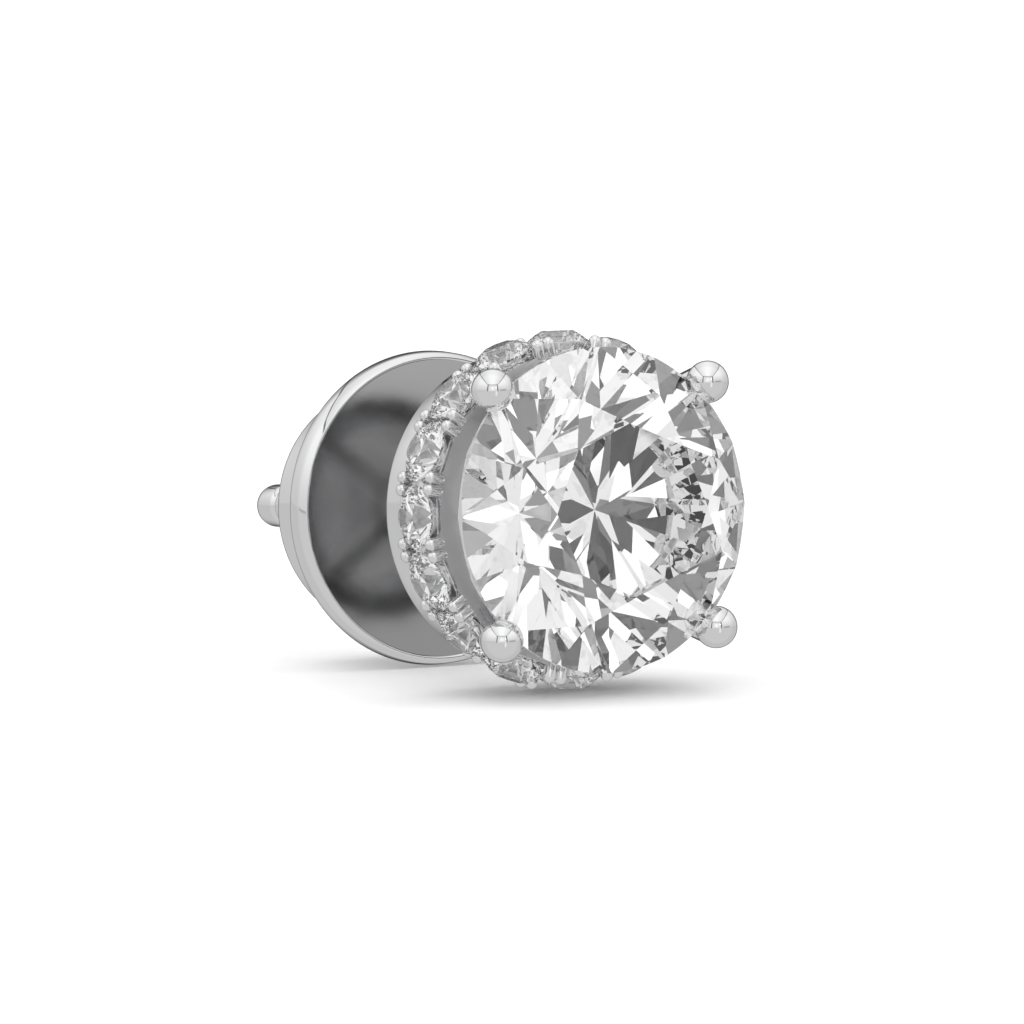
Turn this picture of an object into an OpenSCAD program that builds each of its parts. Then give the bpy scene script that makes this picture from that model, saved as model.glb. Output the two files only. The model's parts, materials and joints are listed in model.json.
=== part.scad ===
// Solitaire stud earring: a large round brilliant in four ball-tipped prongs, a band set all round with
// small brilliants, an ear post and a round push-on back. It stands on four of its bead tips and on the
// rim of its back.
// Every sub-part is drawn along the post: Z runs from the stone's table (-) to the post's tip (+), and
// Z = 0 is the front edge of the large stone's girdle. place() then lays the earring on the ground.

/* [Main stone] */
// Diameter of the large stone at its girdle
stone_d = 6.5; // [6.3:0.05:6.6]
// Table width, corner to corner, as a share of the diameter
stone_table = 0.53; // [0.5:0.01:0.6]
// Crown height as a share of the diameter
stone_crown = 0.166; // [0.14:0.002:0.18]
// Girdle thickness as a share of the diameter
stone_girdle = 0.03; // [0.02:0.001:0.034]
// Slope of the pavilion in degrees
stone_pavilion = 40.75; // [40:0.25:42]

/* [Halo stones] */
// Diameter of one small stone
halo_d = 1.28; // [1.26:0.005:1.3]
// Table width, corner to corner, as a share of the diameter
halo_table = 0.5; // [0.45:0.01:0.56]
// Crown height as a share of the diameter
halo_crown = 0.172; // [0.15:0.002:0.19]
// Girdle thickness as a share of the diameter
halo_girdle = 0.036; // [0.03:0.001:0.05]
// Gap between the girdles of two neighbouring small stones
halo_gap = 0.05; // [0.04:0.005:0.08]
// Distance of the ring of small stones behind the large stone's girdle
halo_z = 1.7; // [1.65:0.01:1.8]

/* [Band] */
// Front face of the band, behind the large stone's girdle
band_front = 1.06; // [1:0.01:1.1]
// Length of the band along the post
band_length = 2.2; // [2.1:0.05:2.5]
// Radius of the hole through the band
band_bore_r = 2.45; // [2.4:0.01:2.55]
// Depth of the band's flats below the girdles of the small stones
band_drop = 0.175; // [0.16:0.005:0.2]
// Thickness of the rail in front of each window
rail_t = 0.15; // [0.12:0.01:0.18]

/* [Bead tips] */
// Radius of one bead tip
bead_r = 0.13; // [0.11:0.005:0.135]
// Distance of a bead tip in front of or behind the small stones' centres
bead_axial = 0.57; // [0.56:0.005:0.6]
// Sideways distance of a bead tip from the middle of its pillar
bead_side = 0.125; // [0.11:0.005:0.13]
// Extra height of the four rear bead tips beside the bottom stone, on which the head stands
foot_rise = 0.13; // [0.115:0.005:0.15]

/* [Prongs] */
// Radius of the ball on each prong
ball_r = 0.43; // [0.38:0.01:0.45]
// Distance of the ball's centre outside the large stone's girdle
ball_out = 0.243; // [0.2:0.005:0.26]
// Radius of the prong's stem under the ball
stem_top_r = 0.36; // [0.3:0.01:0.37]
// Radius of the prong's stem at the band
stem_foot_r = 0.33; // [0.28:0.01:0.34]
// Distance of the stem's foot from the post's axis
stem_foot_at = 3.06; // [2.95:0.01:3.08]

/* [Basket and post] */
// Radius of a basket arm at the band
arm_r = 0.36; // [0.3:0.01:0.38]
// Distance of the basket's middle behind the band's rear face
basket_depth = 0.62; // [0.55:0.01:0.7]
// Radius of the collar at the foot of the post
collar_r = 0.95; // [0.8:0.01:1.05]
// Radius of the ear post
post_r = 0.475; // [0.4:0.005:0.5]
// Distance of the post's tip behind the large stone's girdle
post_tip = 15.02; // [13.5:0.02:16]

/* [Back] */
// Widest radius of the back's rim
back_r = 3.32; // [3.25:0.01:3.4]
// Distance of the rim's crest behind the large stone's girdle
back_at = 6.84; // [6.6:0.02:7.6]
// How far the middle of the domed face stands in front of the face's edge
face_rise = 0.25; // [0.15:0.05:0.4]
// Radius of the round boss behind the disc
boss_r = 2.6; // [2.4:0.05:2.9]
// Distance of the boss's rear face behind the rim's crest
boss_end = 2.75; // [2.3:0.05:3.2]
// Radial play between the post and the back's bore
bore_play = 0.03; // [0.02:0.005:0.05]

/* [Hidden] */
$fn = 64;

metal = [0.86, 0.86, 0.87];
crystal = [0.93, 0.95, 0.97];

// Gap between a stone and the metal that carries it
seat_gap = 0.02;
// Plain overlap between parts that are soldered together
weld = 0.1;

// The large stone
stone_r = stone_d / 2;
stone_crown_h = stone_crown * stone_d;
stone_girdle_t = stone_girdle * stone_d;
stone_table_r = stone_table * stone_r;

// The small stones, one on each flat of the band
halo_count = 16;
halo_step = 360 / halo_count;
halo_r = halo_d / 2;
halo_crown_h = halo_crown * halo_d;
halo_girdle_t = halo_girdle * halo_d;
halo_table_r = halo_table * halo_r;
halo_seat_r = (halo_r * cos(halo_step / 2) + halo_gap / 2) / sin(halo_step / 2);
halo_face_r = halo_seat_r + halo_girdle_t + halo_crown_h;
facet_turn = 22.5;
bottom_k = 4;

// The band: flats in front, round behind, where it stands out by a small step
round_step = 0.01;
flat_r = halo_seat_r - band_drop;
corner_r = flat_r / cos(halo_step / 2);
band_round_r = corner_r + round_step;
band_rear = band_front + band_length;
edge_cut = 0.06;
window_half = 0.43;
window_chamfer = 0.12;
window_depth = 0.22;
window_floor_r = flat_r - window_depth;

// The bead tips: a ball on a slightly thinner stem, a little above the small stones' girdles
bead_rise = 0.055;
bead_neck = 0.015;
bead_seat_r = halo_seat_r + bead_rise;
bead_stem_r = bead_r - bead_neck;

// The prongs, the basket and the post
prong_count = 4;
prong_turn = 45;
ball_at = stone_r + ball_out;
stem_top_z = 0.2;
arm_inset = 0.3;
arm_depth = 0.28;
arm_start = [band_bore_r + arm_inset, band_rear - arm_depth];
arm_end_r = 0.3;
basket_z = band_rear + basket_depth;
collar_t = 0.5;
collar_flare = 0.12;
collar_top_r = post_r + collar_flare;
groove_depth = 0.07;
groove_w = 0.12;
groove_back = 0.65;
groove_z = post_tip - post_r - groove_back;

// The back: its outline from the rim's crest inwards and rearwards
crest_in = 0.14;
face_edge_in = 0.2;
face_edge_drop = 0.06;
rim_curve = 0.03;
rim_front_at = 0.19;
rim_wide_at = 0.5;
rim_rear_at = 0.6;
boss_at = 0.78;
boss_round = 0.3;
bore_chamfer = 0.1;
bore_r = post_r + bore_play;
crest_r = back_r - crest_in;
face_edge_r = back_r - face_edge_in;
face_z = back_at + face_edge_drop - face_rise;
rim_front = [back_r - rim_curve, back_at + rim_front_at];
rim_wide = [back_r, back_at + rim_wide_at];
rim_rear = [back_r - rim_curve, back_at + rim_rear_at];

// Rest: the four tall bead tips and the back's rim touch the ground. foot is the lowest tip's centre,
// as its distance below the post's axis and behind the large stone's girdle.
foot = [
    (bead_seat_r + foot_rise) * cos(halo_step / 2) + bead_side * sin(halo_step / 2),
    halo_z + bead_axial
];
foot_gap = [rim_wide[1] - foot[1], foot[0] - rim_wide[0]];
tilt = atan2(foot_gap[1], foot_gap[0]) + asin(bead_r / norm(foot_gap));
rest_h = foot[0] * cos(tilt) + foot[1] * sin(tilt) + bead_r;
front_y = -stone_crown_h * cos(tilt) - stone_table_r * sin(tilt);
rear_y = (post_tip - post_r) * cos(tilt) + post_r;

// Lays a part that is drawn along Z on the ground, with the post to the rear
module place() {
    translate([0, -(front_y + rear_y) / 2, rest_h])
        rotate([-(90 + tilt), 0, 0])
            children();
}

// Point at radius r, azimuth a and height z
function polar(r, a, z) = [r * cos(a), r * sin(a), z];

// Height of the sloped plane that falls from the girdle at azimuth 0, seen at radius r and azimuth a
function slope_z(edge_r, slope, r, a) = (edge_r - r * cos(a)) * slope;

// Arc of n steps about centre c, from angle a to angle b
function arc(c, r, a, b, n) = [
    for (i = [0:n])
        let (turn = a + (b - a) * i / n)
            [c[0] + r * cos(turn), c[1] + r * sin(turn)]
];

// Round brilliant with its table towards -Z. The girdle's front corners lie at Z = 0.
// steps is the number of girdle points for each of the 16 girdle facets.
module brilliant(r, table_r, crown_h, girdle_t, pavilion, steps) {
    star_length = 0.5;
    lower_length = 0.8;
    eighth = 45;
    half = eighth / 2;
    quarter = eighth / 4;
    crown_slope = crown_h / (r - table_r);
    table_flat_r = table_r * cos(half);
    star_r = table_flat_r + star_length * (r - table_flat_r);
    star_z = -slope_z(r, crown_slope, star_r, half);
    pavilion_slope = tan(pavilion);
    lower_r = r * (1 - lower_length);
    lower_z = girdle_t + slope_z(r, pavilion_slope, lower_r, half);
    culet_z = girdle_t + r * pavilion_slope;
    rim = 16 * steps;
    // Slopes of the girdle facets along their middle line, a quarter of an eighth from their corners
    upper_slope = (-star_z) / (r * cos(quarter) - star_r * cos(quarter));
    lower_slope = (lower_z - girdle_t) / (r * cos(quarter) - lower_r * cos(quarter));
    function scallop(i) = r * cos(quarter) - r * cos(half * (i % steps) / steps - quarter);
    points = concat(
        [for (k = [0:7]) polar(table_r, eighth * k, -crown_h)],
        [for (k = [0:7]) polar(star_r, eighth * k + half, star_z)],
        [for (i = [0:rim - 1]) polar(r, 360 * i / rim, -upper_slope * scallop(i))],
        [for (i = [0:rim - 1]) polar(r, 360 * i / rim, girdle_t + lower_slope * scallop(i))],
        [for (k = [0:7]) polar(lower_r, eighth * k + half, lower_z)],
        [[0, 0, culet_z]]
    );
    star = 8;
    front = 16;
    rear = front + rim;
    lower = rear + rim;
    culet = lower + 8;
    // Girdle point j of eighth k, on the girdle's front or rear edge
    function around(edge, k, j) = edge + (2 * k * steps + j) % rim;
    faces = concat(
        [[for (k = [0:7]) k]],
        [for (k = [0:7]) [k, star + k, (k + 1) % 8]],
        [for (k = [0:7]) [k, star + (k + 7) % 8, front + 2 * k * steps, star + k]],
        [for (k = [0:7]) [star + k, each [for (j = [0:steps]) around(front, k, j)]]],
        [for (k = [0:7]) [star + k, each [for (j = [steps:2 * steps]) around(front, k, j)]]],
        [for (i = [0:rim - 1]) [front + i, rear + i, rear + (i + 1) % rim, front + (i + 1) % rim]],
        [for (k = [0:7]) [lower + k, each [for (j = [steps:-1:0]) around(rear, k, j)]]],
        [for (k = [0:7]) [lower + k, each [for (j = [2 * steps:-1:steps]) around(rear, k, j)]]],
        [for (k = [0:7]) [culet, lower + k, rear + 2 * k * steps, lower + (k + 7) % 8]]
    );
    polyhedron(points = points, faces = faces, convexity = 2);
}

// Turned space that a round stone needs in the metal, larger than the stone by the seat gap all round
module stone_space(r, table_r, crown_h, girdle_t) {
    above = 1;
    reach = r + seat_gap;
    crown_slope = crown_h / (r - table_r);
    top_r = reach - (crown_h + above) / crown_slope;
    rotate_extrude()
        polygon(concat(
            top_r > 0
                ? [[0, -crown_h - above], [top_r, -crown_h - above]]
                : [[0, -reach * crown_slope - seat_gap]],
            [
                [reach, -seat_gap],
                [reach, girdle_t + seat_gap],
                [0, girdle_t + seat_gap + reach * tan(stone_pavilion)]
            ]
        ));
}

// Turns and moves a part from its own axis to small stone number k of the band
module at_halo(k) {
    rotate([0, 0, halo_step * k])
        translate([halo_seat_r + halo_girdle_t, 0, halo_z])
            rotate([0, -90, 0])
                children();
}

// The large stone
module main_stone() {
    color(crystal)
        place()
            brilliant(stone_r, stone_table_r, stone_crown_h, stone_girdle_t, stone_pavilion, 4);
}

// Small stone number k
module halo_stone(k) {
    color(crystal)
        place()
            at_halo(k)
                rotate([0, 0, facet_turn])
                    brilliant(halo_r, halo_table_r, halo_crown_h, halo_girdle_t, stone_pavilion, 2);
}

// Ring of the band: a many-sided front, a round rear with a small edge, and a hole through it
module band_ring() {
    difference() {
        union() {
            translate([0, 0, band_front])
                linear_extrude(halo_z - band_front)
                    polygon([
                        for (k = [0:halo_count - 1])
                            let (turn = halo_step * (k + 0.5))
                                [corner_r * cos(turn), corner_r * sin(turn)]
                    ]);
            rotate_extrude()
                polygon([
                    [0, halo_z],
                    [band_round_r, halo_z],
                    [band_round_r, band_rear - edge_cut],
                    [band_round_r - edge_cut, band_rear],
                    [0, band_rear]
                ]);
        }
        translate([0, 0, band_front - weld])
            cylinder(h = band_length + 2 * weld, r = band_bore_r);
    }
}

// Window under one small stone, drawn from its floor outwards: square in front, round behind.
// X runs to the front of the band.
module window() {
    front = halo_z - band_front - rail_t;
    depth = halo_face_r - window_floor_r;
    cylinder(h = depth, r = window_half + round_step);
    linear_extrude(depth)
        polygon([
            [0, -window_half],
            [front - window_chamfer, -window_half],
            [front, -window_half + window_chamfer],
            [front, window_half - window_chamfer],
            [front - window_chamfer, window_half],
            [0, window_half]
        ]);
}

// Four bead tips on the pillar between small stones k and k + 1
module beads(k) {
    root_r = flat_r - weld;
    by_bottom = k == bottom_k - 1 || k == bottom_k;
    for (side = [-1, 1], row = [-1, 1])
        let (height = bead_seat_r - root_r + (by_bottom && row > 0 ? foot_rise : 0))
            rotate([0, 0, halo_step * (k + 0.5)])
                translate([root_r, side * bead_side, halo_z + row * bead_axial])
                    rotate([0, 90, 0]) {
                        cylinder(h = height, r = bead_stem_r, $fn = 24);
                        translate([0, 0, height])
                            sphere(r = bead_r, $fn = 24);
                    }
}

// One prong: a ball over the girdle on a stem that leans in to the band
module prong() {
    foot_z = band_front + weld / 2;
    run = ball_at - stem_foot_at;
    rise = foot_z - stem_top_z;
    translate([ball_at, 0, 0])
        sphere(r = ball_r);
    translate([ball_at, 0, stem_top_z])
        rotate([0, -atan(run / rise), 0])
            cylinder(h = norm([run, rise]), r1 = stem_top_r, r2 = stem_foot_r);
}

// One arm of the basket, from the band's rear edge to the collar
module basket_arm() {
    run = arm_start[0];
    rise = basket_z - arm_start[1];
    translate([arm_start[0], 0, arm_start[1]])
        rotate([0, -atan(run / rise), 0])
            cylinder(h = norm([run, rise]), r1 = arm_r, r2 = arm_end_r);
}

// Collar and ear post with a round tip and a friction groove
module post() {
    rotate_extrude()
        polygon([
            [0, basket_z - collar_t / 2],
            [collar_r - edge_cut, basket_z - collar_t / 2],
            [collar_r, basket_z - collar_t / 2 + edge_cut],
            [collar_r, basket_z],
            [collar_top_r, basket_z + collar_t / 2],
            [0, basket_z + collar_t / 2]
        ]);
    difference() {
        translate([0, 0, basket_z])
            cylinder(h = post_tip - post_r - basket_z, r = post_r);
        rotate_extrude()
            polygon([
                [post_r - groove_depth, groove_z],
                [post_r + weld, groove_z - groove_w / 2 - weld],
                [post_r + weld, groove_z + groove_w / 2 + weld]
            ]);
    }
    translate([0, 0, post_tip - post_r])
        sphere(r = post_r);
}

// All the soldered metal of the head and the post
module setting() {
    color(metal)
        place()
            difference() {
                union() {
                    difference() {
                        band_ring();
                        for (k = [0:halo_count - 1])
                            rotate([0, 0, halo_step * k])
                                translate([window_floor_r, 0, halo_z])
                                    rotate([0, 90, 0])
                                        window();
                    }
                    for (k = [0:halo_count - 1])
                        beads(k);
                    for (k = [0:prong_count - 1])
                        rotate([0, 0, prong_turn + 360 * k / prong_count]) {
                            prong();
                            basket_arm();
                        }
                    post();
                }
                stone_space(stone_r, stone_table_r, stone_crown_h, stone_girdle_t);
                for (k = [0:halo_count - 1])
                    at_halo(k)
                        stone_space(halo_r, halo_table_r, halo_crown_h, halo_girdle_t);
            }
}

// Turned back: a disc with a slightly domed face, and a round boss behind it, bored for the post
module back() {
    rear_z = back_at + boss_end;
    boss_z = back_at + boss_at;
    face_steps = 12;
    color(metal)
        place()
            rotate_extrude()
                polygon(concat(
                    [for (i = [0:face_steps])
                        let (r = bore_r + (face_edge_r - bore_r) * i / face_steps)
                        [r, face_z + face_rise * pow(r / face_edge_r, 2)]],
                    [[crest_r, back_at], rim_front, rim_wide, rim_rear, [boss_r, boss_z]],
                    arc([boss_r - boss_round, rear_z - boss_round], boss_round, 0, 90, 6),
                    [[bore_r + bore_chamfer, rear_z], [bore_r, rear_z - bore_chamfer]]
                ));
}

setting();
main_stone();
back();
for (k = [0:halo_count - 1])
    halo_stone(k);
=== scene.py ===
"""Solitaire stud earring: looks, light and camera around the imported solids.

Sizes are in millimetres along the post. Z runs from the large stone's table (-) to the post's tip (+),
and Z = 0 is the front edge of the large stone's girdle. PostFrame lays every piece in the shared frame.
"""
import json
import logging
import math
from collections.abc import Iterable, Iterator
from dataclasses import dataclass, field
from enum import Enum
from typing import Any

import bmesh
import bpy
from mathutils import Matrix, Vector


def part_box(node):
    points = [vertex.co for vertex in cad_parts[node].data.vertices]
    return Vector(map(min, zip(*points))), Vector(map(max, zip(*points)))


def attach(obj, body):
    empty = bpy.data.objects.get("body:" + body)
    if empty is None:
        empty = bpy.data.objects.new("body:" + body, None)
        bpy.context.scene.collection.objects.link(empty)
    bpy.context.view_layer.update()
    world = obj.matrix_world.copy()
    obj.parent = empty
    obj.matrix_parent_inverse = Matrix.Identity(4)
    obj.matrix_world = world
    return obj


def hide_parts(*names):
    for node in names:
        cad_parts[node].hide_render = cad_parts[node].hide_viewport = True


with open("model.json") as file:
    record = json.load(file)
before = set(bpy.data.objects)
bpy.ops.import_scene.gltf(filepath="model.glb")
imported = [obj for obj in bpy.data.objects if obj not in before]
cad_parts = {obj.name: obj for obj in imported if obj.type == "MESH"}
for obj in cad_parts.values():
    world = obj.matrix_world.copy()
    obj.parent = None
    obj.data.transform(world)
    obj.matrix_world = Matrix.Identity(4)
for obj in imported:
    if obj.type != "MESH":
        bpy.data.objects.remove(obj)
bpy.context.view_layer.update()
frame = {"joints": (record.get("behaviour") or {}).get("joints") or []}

LOG = logging.getLogger("stud_earring")
MM = 0.001
IMAGE_SIDE = 1024
SENSOR_MM = 36.0
Z_AXIS = Vector((0, 0, 1))


class Body(Enum):
    """The two bodies that a piece can ride on."""

    EARRING = "earring"
    BACK = "back"


class Slot(Enum):
    """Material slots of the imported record."""

    SETTING_METAL = "setting_metal"
    BACK_METAL = "back_metal"
    MAIN_CRYSTAL = "main_crystal"
    HALO_CRYSTAL = "halo_crystal"


class Shading(Enum):
    """How the faces of a finished piece are shaded."""

    CUT = "flat facets"
    POLISHED = "smooth up to a sharp edge"


# Shaping steps ------------------------------------------------------------


class Bench:
    """The jeweller's bench: the shaping steps that the pieces share."""

    @staticmethod
    def everything(mesh: bmesh.types.BMesh) -> list[Any]:
        """All the vertices, edges and faces of a mesh."""
        return [*mesh.verts, *mesh.edges, *mesh.faces]

    @staticmethod
    def turned(outline: Iterable[tuple[float, float, float]], steps: int) -> bmesh.types.BMesh:
        """Turns an outline round the post's axis.

        Args:
            outline: Corners as (radius, height, rounding). Rounding is how far back from the corner a
                round starts, and 0 keeps the corner sharp.
            steps: Number of steps in the full turn.

        Returns:
            The closed mesh, with its faces outwards.
        """
        mesh = bmesh.new()
        corners = list(outline)
        points = [mesh.verts.new((radius, 0, height)) for radius, height, _ in corners]
        for near, far in zip(points, points[1:]):
            mesh.edges.new((near, far))
        if corners[0][0] > 0:
            mesh.edges.new((points[-1], points[0]))
        for point, (_, _, rounding) in zip(points, corners):
            if rounding > 0:
                bmesh.ops.bevel(
                    mesh, geom=[point], offset=rounding, offset_type="OFFSET", segments=5,
                    profile=0.5, affect="VERTICES", clamp_overlap=True, material=-1,
                )
        bmesh.ops.spin(
            mesh, geom=Bench.everything(mesh), cent=(0, 0, 0), axis=Z_AXIS,
            angle=math.tau, steps=steps, use_merge=True,
        )
        bmesh.ops.remove_doubles(mesh, verts=mesh.verts, dist=1e-5)
        bmesh.ops.recalc_face_normals(mesh, faces=mesh.faces)
        return mesh

    @staticmethod
    def ring_of(mesh: bmesh.types.BMesh, count: int) -> bmesh.types.BMesh:
        """Repeats a mesh round the post's axis.

        Args:
            mesh: The first copy, in its place.
            count: How many copies stand round the axis.

        Returns:
            The same mesh with all its copies.
        """
        bmesh.ops.spin(
            mesh, geom=Bench.everything(mesh), cent=(0, 0, 0), axis=Z_AXIS,
            angle=math.tau * (count - 1) / count, steps=count - 1, use_duplicate=True,
        )
        bmesh.ops.recalc_face_normals(mesh, faces=mesh.faces)
        return mesh

    @staticmethod
    def moved(mesh: bmesh.types.BMesh, matrix: Matrix) -> bmesh.types.BMesh:
        """Moves and turns a whole mesh."""
        bmesh.ops.transform(mesh, matrix=matrix, verts=mesh.verts)
        return mesh

    @staticmethod
    def _through_modifier(
        mesh: bmesh.types.BMesh, kind: str, settings: dict[str, Any], tool: bmesh.types.BMesh | None = None
    ) -> bmesh.types.BMesh:
        """Runs a mesh through one modifier on a scratch object.

        Args:
            mesh: The mesh to shape. It is used up.
            kind: Modifier type.
            settings: Modifier settings.
            tool: Second mesh of a cut or joint. It is used up.

        Returns:
            The new mesh.
        """
        scratch = []
        for part in (mesh, tool):
            if part is not None:
                data = bpy.data.meshes.new("scratch")
                part.to_mesh(data)
                part.free()
                thing = bpy.data.objects.new("scratch", data)
                bpy.context.scene.collection.objects.link(thing)
                scratch.append(thing)
        modifier = scratch[0].modifiers.new("step", kind)
        for name, value in settings.items():
            setattr(modifier, name, value)
        if tool is not None:
            modifier.object = scratch[1]
        depsgraph = bpy.context.evaluated_depsgraph_get()
        shaped = bmesh.new()
        shaped.from_mesh(scratch[0].evaluated_get(depsgraph).to_mesh())
        for thing in scratch:
            data = thing.data
            bpy.data.objects.remove(thing)
            bpy.data.meshes.remove(data)
        return shaped

    @classmethod
    def soldered(cls, mesh: bmesh.types.BMesh, part: bmesh.types.BMesh) -> bmesh.types.BMesh:
        """Joins a second part to a mesh as one skin."""
        return cls._through_modifier(mesh, "BOOLEAN", {"operation": "UNION", "solver": "EXACT"}, part)

    @classmethod
    def filed(cls, mesh: bmesh.types.BMesh, cutter: bmesh.types.BMesh) -> bmesh.types.BMesh:
        """Cuts a cutter's space out of a mesh."""
        return cls._through_modifier(mesh, "BOOLEAN", {"operation": "DIFFERENCE", "solver": "EXACT"}, cutter)

    @classmethod
    def cast(cls, mesh: bmesh.types.BMesh, grain: float, passes: int) -> bmesh.types.BMesh:
        """Casts overlapping parts as one skin whose inner corners flow together.

        Args:
            mesh: The overlapping parts. It is used up.
            grain: Size of the new faces.
            passes: How often the skin is smoothed.

        Returns:
            The cast mesh.
        """
        skin = cls._through_modifier(mesh, "REMESH", {"mode": "VOXEL", "voxel_size": grain})
        for _ in range(passes):
            bmesh.ops.smooth_vert(
                skin, verts=skin.verts, factor=0.5, use_axis_x=True, use_axis_y=True, use_axis_z=True
            )
        return skin

    @staticmethod
    def broken_edges(mesh: bmesh.types.BMesh, width: float, angle: float) -> bmesh.types.BMesh:
        """Takes the sharpness off the edges of a mesh.

        Args:
            mesh: The mesh to work on.
            width: Width of the small round.
            angle: Only edges sharper than this many degrees are rounded.

        Returns:
            The same mesh.
        """
        bmesh.ops.remove_doubles(mesh, verts=mesh.verts, dist=1e-4)
        bmesh.ops.dissolve_limit(
            mesh, angle_limit=math.radians(0.5), verts=mesh.verts, edges=mesh.edges, delimit=set()
        )
        sharp = [
            edge for edge in mesh.edges
            if len(edge.link_faces) == 2 and edge.calc_face_angle(0) > math.radians(angle)
        ]
        bmesh.ops.bevel(
            mesh, geom=sharp, offset=width, offset_type="OFFSET", segments=3, profile=0.5,
            affect="EDGES", clamp_overlap=True, material=-1,
        )
        return mesh


# Where the earring lies ---------------------------------------------------


@dataclass(frozen=True)
class PostFrame:
    """Lays sizes along the post in the shared frame.

    Args:
        tilt: How far the post points down to the rear, in radians.
        origin: Middle of the large stone's girdle, in metres.
    """

    tilt: float
    origin: Vector

    @classmethod
    def of_frame(cls, stone: "BrilliantCut") -> "PostFrame":
        """Finds the earring's lie from the slide's axis and the large stone's solid.

        Args:
            stone: Cut of the large stone.

        Returns:
            The post's frame.
        """
        axis = Vector(frame["joints"][0]["axis"])
        tilt = math.atan2(-axis.z, axis.y)
        low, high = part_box("main_stone")
        height = high.z - stone.radius * MM * math.cos(tilt)
        table = stone.crown_height * math.cos(tilt) + stone.table_radius * math.sin(tilt)
        return cls(tilt, Vector((0, low.y + table * MM, height)))

    @property
    def matrix(self) -> Matrix:
        """Matrix from millimetres along the post to metres in the frame."""
        turn = Matrix.Rotation(-(math.pi / 2 + self.tilt), 4, "X")
        return Matrix.Translation(self.origin) @ turn @ Matrix.Scale(MM, 4)


# Finishes -----------------------------------------------------------------


class NodePlan:
    """Adds nodes to one node tree and links them."""

    def __init__(self, tree: bpy.types.NodeTree) -> None:
        """Starts an empty tree."""
        tree.nodes.clear()
        self.tree = tree

    def add(self, kind: str, inputs: dict[Any, Any] | None = None, **settings: Any) -> bpy.types.Node:
        """Adds one node.

        Args:
            kind: Node type.
            inputs: Socket names or numbers, each with a value or the socket that feeds it.
            settings: Properties of the node.

        Returns:
            The new node.
        """
        node = self.tree.nodes.new(kind)
        for name, value in settings.items():
            setattr(node, name, value)
        for name, value in (inputs or {}).items():
            if isinstance(value, bpy.types.NodeSocket):
                self.tree.links.new(value, node.inputs[name])
            else:
                node.inputs[name].default_value = value
        return node

    def sum_of(self, operation: str, *values: Any) -> bpy.types.NodeSocket:
        """One Math node's result."""
        return self.add("ShaderNodeMath", dict(enumerate(values)), operation=operation).outputs[0]

    def step(self, value: Any, start: float, end: float, low: float = 0, high: float = 1) -> bpy.types.NodeSocket:
        """A soft step of a value.

        Args:
            value: Socket that is read.
            start: Value at which the step starts.
            end: Value at which it ends.
            low: Result up to the start.
            high: Result from the end on.

        Returns:
            Socket with the result.
        """
        inputs = {"Value": value, "From Min": start, "From Max": end, "To Min": low, "To Max": high}
        return self.add("ShaderNodeMapRange", inputs, interpolation_type="SMOOTHSTEP").outputs["Result"]

    def noise(self, scale: float, detail: float = 2, stretch: tuple[float, float, float] = (1, 1, 1)) -> bpy.types.NodeSocket:
        """Noise over the piece's own space.

        Args:
            scale: Waves in each metre.
            detail: Number of finer layers.
            stretch: How often the pattern repeats along each axis.

        Returns:
            Socket with the noise, from 0 to 1.
        """
        place = self.add("ShaderNodeTexCoord").outputs["Object"]
        mapped = self.add("ShaderNodeMapping", {"Vector": place, "Scale": stretch}).outputs["Vector"]
        inputs = {"Vector": mapped, "Scale": scale, "Detail": detail, "Roughness": 0.55}
        return self.add("ShaderNodeTexNoise", inputs).outputs["Fac"]

    def between(self, amount: Any, first: tuple[float, ...], second: tuple[float, ...]) -> bpy.types.NodeSocket:
        """Colour between two colours."""
        mix = self.add("ShaderNodeMix", {"Factor": amount}, data_type="RGBA")
        for socket in mix.inputs:
            if socket.type == "RGBA":
                socket.default_value = (*(first if socket.name == "A" else second), 1)
        return next(socket for socket in mix.outputs if socket.type == "RGBA")


@dataclass(frozen=True)
class Finish:
    """A surface finish, made as one material."""

    name: str

    def material(self) -> bpy.types.Material:
        """Makes the finish's material."""
        made = bpy.data.materials.get(self.name)
        if made is None:
            made = bpy.data.materials.new(self.name)
            made.use_nodes = True
            plan = NodePlan(made.node_tree)
            plan.add("ShaderNodeOutputMaterial", {"Surface": self.shader(plan).outputs["BSDF"]})
        return made

    def shader(self, plan: NodePlan) -> bpy.types.Node:
        """Lays out the nodes of the finish and returns its shader."""
        raise NotImplementedError


@dataclass(frozen=True)
class WhiteMetal(Finish):
    """Polished or satin white metal.

    Args:
        dull: Colour where the polish is dullest.
        bright: Colour where it is brightest.
        roughness: Lowest and highest roughness.
        lay: Waves of the polish in each metre.
        lay_stretch: How often the polishing marks repeat along each axis.
        mark_depth: Depth of the polishing marks, in metres.
    """

    dull: tuple[float, float, float] = (0.79, 0.79, 0.795)
    bright: tuple[float, float, float] = (0.83, 0.83, 0.835)
    roughness: tuple[float, float] = (0.03, 0.07)
    lay: float = 900
    lay_stretch: tuple[float, float, float] = (1, 1, 1)
    mark_depth: float = 1.5e-7

    def shader(self, plan: NodePlan) -> bpy.types.Node:
        """Lays out slightly uneven polish with fine marks."""
        patches = plan.noise(self.lay, 3, self.lay_stretch)
        marks = plan.noise(self.lay * 14, 2, self.lay_stretch)
        bump = plan.add("ShaderNodeBump", {"Strength": 1.0, "Distance": self.mark_depth, "Height": marks})
        return plan.add("ShaderNodeBsdfPrincipled", {
            "Base Color": plan.between(patches, self.dull, self.bright),
            "Metallic": 1.0,
            "Roughness": plan.step(patches, 0.35, 0.65, *self.roughness),
            "Normal": bump.outputs["Normal"],
        })


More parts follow.
